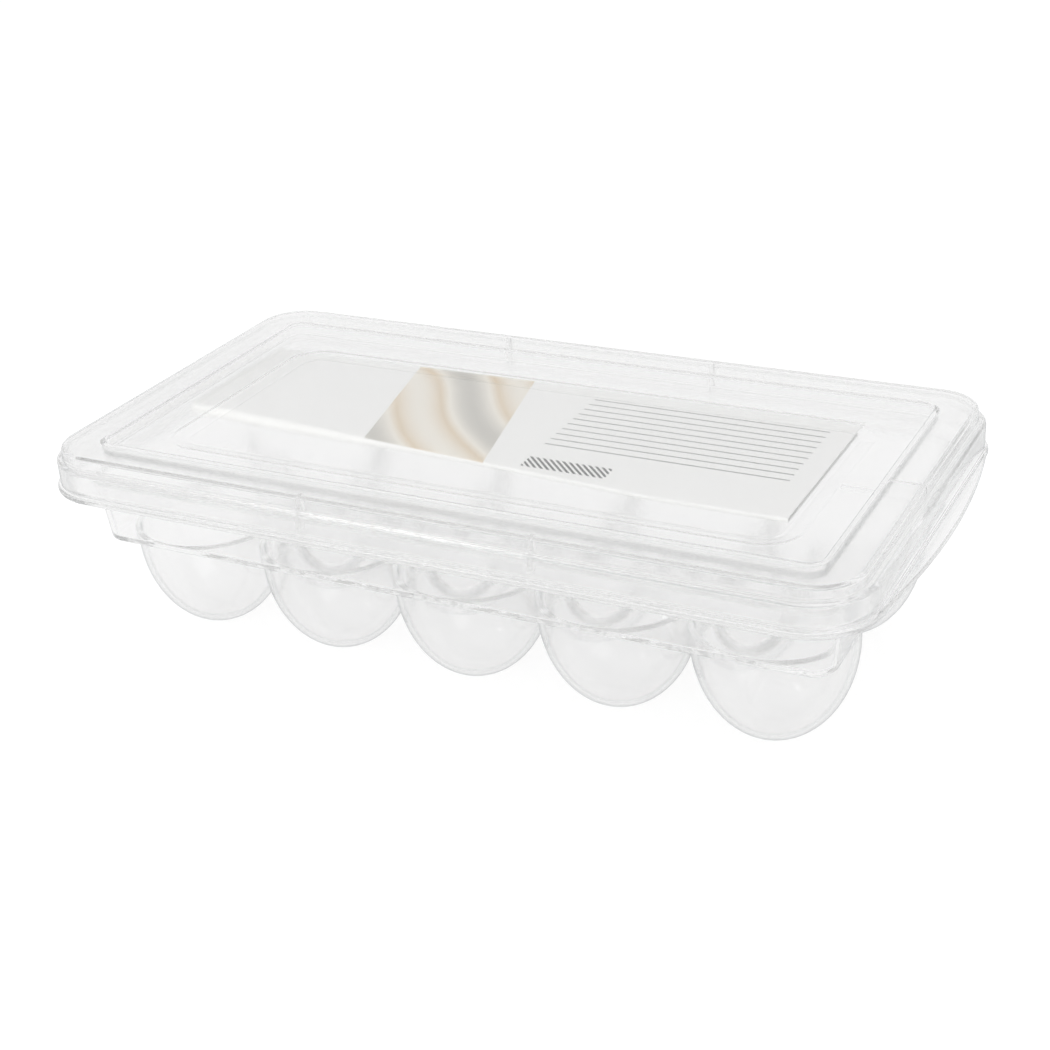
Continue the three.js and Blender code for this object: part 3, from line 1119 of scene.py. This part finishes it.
    def _rib(self) -> Piece:
        """Rib on the middle line, under the border and the ring at the end with the handle tab.

        Returns:
            The rib, cut away where the recess passes through it.
        """
        start = self.centre_x + self.recess_half[0] - self.border
        end = self.centre_x + self.ring_half[0] - self.wall / 2
        foot = self.recess_floor - self.wall - self.rib_drop
        rib = self._bar(
            (start, -self.rib_width / 2, foot),
            (end, self.rib_width / 2, self.ring_top - self.wall / 2),
        )
        space = self._bar(
            (start - self.wall, -self.rib_width, self.recess_floor - self.wall / 2),
            (self.centre_x + self.recess_half[0] + self.wall / 2, self.rib_width, self.ring_top),
        )
        combine(rib, [space], Cut.TAKE_AWAY)
        return rib

    def _arch(self) -> Piece:
        """Cutter that lifts the skirt's edge in an arch over the handle tab.

        Returns:
            A wide disc that stands across the skirt.
        """
        half_chord = self.skirt_half[1] - self.arch_end_inset
        rise = self.ledge_top - self.wall - self.skirt_bottom
        radius = (half_chord ** 2 + rise ** 2) / (2 * rise)
        clear_selection()
        bpy.ops.mesh.primitive_cylinder_add(
            vertices=self.arch_steps, radius=mm(radius), depth=mm(self.arch_cut),
            location=(
                mm(self.centre_x + self.skirt_half[0]), 0, mm(self.skirt_bottom + rise - radius),
            ),
            rotation=(0, math.pi / 2, 0),
        )
        cutter = bpy.context.object
        apply_place(cutter)
        return cutter


@dataclass
class InsertCard:
    """One printed sheet folded along its front edge, with the fold rolled wider at the left.

    Sizes are in millimetres. The skew, roll and fold ends are shares of the card's length.
    """

    centre_x: float
    thickness: float = 0.4
    left: float = -117.9836
    right: float = 97.9836
    front: float = -23.3836
    back: float = 47.8836
    front_skew: float = 13.6
    back_skew: float = 4.3
    top: float = 63.7
    roll: float = 4.6
    fold: float = 1.6
    lower_inset: float = 6.0
    skew_end: float = 0.8
    roll_end: float = 0.1
    fold_start: float = 0.55
    stations: int = 72
    fold_steps: int = 16
    leaf_steps: int = 4
    sharp_degrees: float = 40.0
    paper: CoatedCard = field(default_factory=lambda: CoatedCard("coated_card_offset_printed"))

    def build(self) -> Piece:
        """Builds the card and dresses it.

        Returns:
            The card as one piece.
        """
        columns = 2 * self.leaf_steps + self.fold_steps
        clear_selection()
        bpy.ops.mesh.primitive_grid_add(
            x_subdivisions=self.stations, y_subdivisions=columns, size=2, location=(0, 0, 0),
        )
        card = bpy.context.object
        card.name = "folded_insert_card"
        for vertex in card.data.vertices:
            share = (vertex.co.x + 1) / 2
            step = round((1 - vertex.co.y) / 2 * columns)
            vertex.co = self._point(share, step)
        make_active(card)
        bpy.ops.object.mode_set(mode="EDIT")
        close_shape()
        sheet = card.modifiers.new("sheet", "SOLIDIFY")
        sheet.thickness = mm(self.thickness)
        sheet.offset = 0
        bpy.ops.object.modifier_apply(modifier=sheet.name)
        smooth(card, self.sharp_degrees)
        dress(card, self.paper.build())
        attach(card, "card")
        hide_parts("insert_card")
        return card

    def _point(self, share: float, step: int) -> Vector:
        """Place on the middle of the sheet.

        Args:
            share: How far along the card, from 0 at the left to 1.
            step: Step across the sheet, from the upper leaf's back edge round the fold.

        Returns:
            The place in metres.
        """
        along = min(max((share - self.roll_end) / (self.fold_start - self.roll_end), 0), 1)
        tight = along * along * (3 - 2 * along)  # Smooth step from roll to fold.
        diameter = self.roll + (self.fold - self.roll) * tight
        front = self.front + self.front_skew * max(0, 1 - share / self.skew_end)
        back = self.back - self.back_skew * (1 - share)
        radius = (diameter - self.thickness) / 2
        centre_y, centre_z = front + diameter / 2, self.top - diameter / 2
        if step <= self.leaf_steps:
            part = step / self.leaf_steps
            y, z = back + (centre_y - back) * part, centre_z + radius
        elif step < self.leaf_steps + self.fold_steps:
            angle = math.pi * (0.5 + (step - self.leaf_steps) / self.fold_steps)
            y, z = centre_y + radius * math.cos(angle), centre_z + radius * math.sin(angle)
        else:
            part = (step - self.leaf_steps - self.fold_steps) / self.leaf_steps
            y, z = centre_y + (back - self.lower_inset - centre_y) * part, centre_z - radius
        x = self.centre_x + self.left + (self.right - self.left) * share
        return Vector((mm(x), mm(y), mm(z)))


@dataclass(frozen=True)
class Lamp:
    """A square soft lamp with its place and width in metres.

    A lamp without glare lights the card, but isn't mirrored in the plastic or seen through it.
    """

    name: str
    place: tuple[float, float, float]
    width: float
    power: float
    glare: bool

    def build(self, aim: Vector) -> None:
        """Adds the lamp.

        Args:
            aim: Place in metres that it points at.
        """
        clear_selection()
        bpy.ops.object.light_add(type="AREA", radius=self.width, location=self.place)
        lamp = bpy.context.object
        lamp.name = self.name
        lamp.data.size = self.width
        lamp.data.energy = self.power
        lamp.visible_glossy = self.glare
        lamp.visible_transmission = self.glare
        way = aim - Vector(self.place)
        lamp.rotation_euler = way.to_track_quat("-Z", "Y").to_euler()


@dataclass
class Studio:
    """White table, white surround, soft lamps, and the camera at the photograph's angle.

    The levels are strengths, where 1 is white. Light bounces often inside the thin clear walls,
    so the number of bounces is high.
    """

    camera_place_mm: tuple[float, float, float] = (249.79, -463.03, 296.95)
    camera_turn_degrees: tuple[float, float, float] = (63.4824, 3.3111, 26.7698)
    lens_mm: float = 62.87
    sensor_mm: float = 36.0
    surround_light: float = 0.97
    surround_seen: float = 1.0
    table_mm: float = 6000.0
    table_light: float = 0.88
    table_seen: float = 1.03
    table_glow_share: float = 0.85
    aim_mm: tuple[float, float, float] = (0.0, 0.0, 40.0)
    lamps: tuple[Lamp, ...] = (
        Lamp("fill_front_left", (-0.6, -1.5, 0.45), 1.2, 20.0, False),
        Lamp("fill_above", (-0.1, -0.1, 1.6), 1.2, 7.0, False),
        Lamp("glint_front_left", (-0.9, -0.9, 1.5), 0.16, 0.5, True),
        Lamp("softbox_right", (1.4, -0.3, 1.1), 1.2, 3.0, True),
    )
    clear_bounces: int = 192
    see_through_bounces: int = 32

    def build(self) -> None:
        """Sets the surround, the table, the lamps and the camera."""
        self._world()
        self._table()
        aim = Vector([mm(value) for value in self.aim_mm])
        for lamp in self.lamps:
            lamp.build(aim)
        self._camera()
        scene = bpy.context.scene
        scene.view_settings.view_transform = "Standard"
        scene.cycles.max_bounces = self.clear_bounces
        scene.cycles.transmission_bounces = self.clear_bounces
        scene.cycles.glossy_bounces = self.clear_bounces
        scene.cycles.transparent_max_bounces = self.see_through_bounces

    def _world(self) -> None:
        """White surround: pure white behind the object, and an even light just below it."""
        world = bpy.data.worlds.new("white_surround")
        bpy.context.scene.world = world
        tree = empty_tree(world)
        seen = add_node(tree, "ShaderNodeLightPath").outputs["Is Camera Ray"]
        level = add_node(
            tree, "ShaderNodeMix", {"data_type": "FLOAT"},
            {0: seen, 2: self.surround_light, 3: self.surround_seen},
        )
        light = add_node(
            tree, "ShaderNodeBackground", {},
            {"Color": colour(WHITE), "Strength": level.outputs[0]},
        )
        add_node(tree, "ShaderNodeOutputWorld", {}, {"Surface": light.outputs["Background"]})

    def _table(self) -> None:
        """White table that keeps a faint shadow."""
        clear_selection()
        bpy.ops.mesh.primitive_plane_add(size=mm(self.table_mm), location=(0, 0, 0))
        table = bpy.context.object
        table.name = "white_table"
        material = bpy.data.materials.new("white_laminate_table")
        tree = empty_tree(material)
        seen = add_node(tree, "ShaderNodeLightPath").outputs["Is Camera Ray"]
        level = add_node(
            tree, "ShaderNodeMapRange", {},
            {"Value": seen, "To Min": self.table_light, "To Max": self.table_seen},
        )
        matt = add_node(tree, "ShaderNodeBsdfDiffuse", {}, {"Color": colour(WHITE)})
        glow = add_node(
            tree, "ShaderNodeEmission", {},
            {"Color": colour(WHITE), "Strength": level.outputs[0]},
        )
        mixed = add_node(
            tree, "ShaderNodeMixShader", {},
            {0: self.table_glow_share, 1: matt.outputs["BSDF"], 2: glow.outputs["Emission"]},
        )
        add_node(tree, "ShaderNodeOutputMaterial", {}, {"Surface": mixed.outputs["Shader"]})
        dress(table, material)

    def _camera(self) -> None:
        """The camera, at the place and turn found from the photograph."""
        clear_selection()
        bpy.ops.object.camera_add(
            location=[mm(value) for value in self.camera_place_mm],
            rotation=[math.radians(value) for value in self.camera_turn_degrees],
        )
        camera = bpy.context.object
        camera.data.sensor_width = self.sensor_mm
        camera.data.lens = self.lens_mm
        bpy.context.scene.camera = camera


def main() -> None:
    """Builds the box's pieces in order and logs their face counts, then builds the studio."""
    logging.basicConfig(level=logging.INFO, format="%(message)s")
    low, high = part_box("lid")
    centre_x = (low.x + high.x) / 2 / MILLIMETRE
    for sub_assembly in (CupTray(centre_x), Lid(centre_x), InsertCard(centre_x)):
        piece = sub_assembly.build()
        log.info("%s: %d faces", piece.name, len(piece.data.polygons))
    Studio().build()
    clear_selection()


if __name__ == "__main__":
    main()
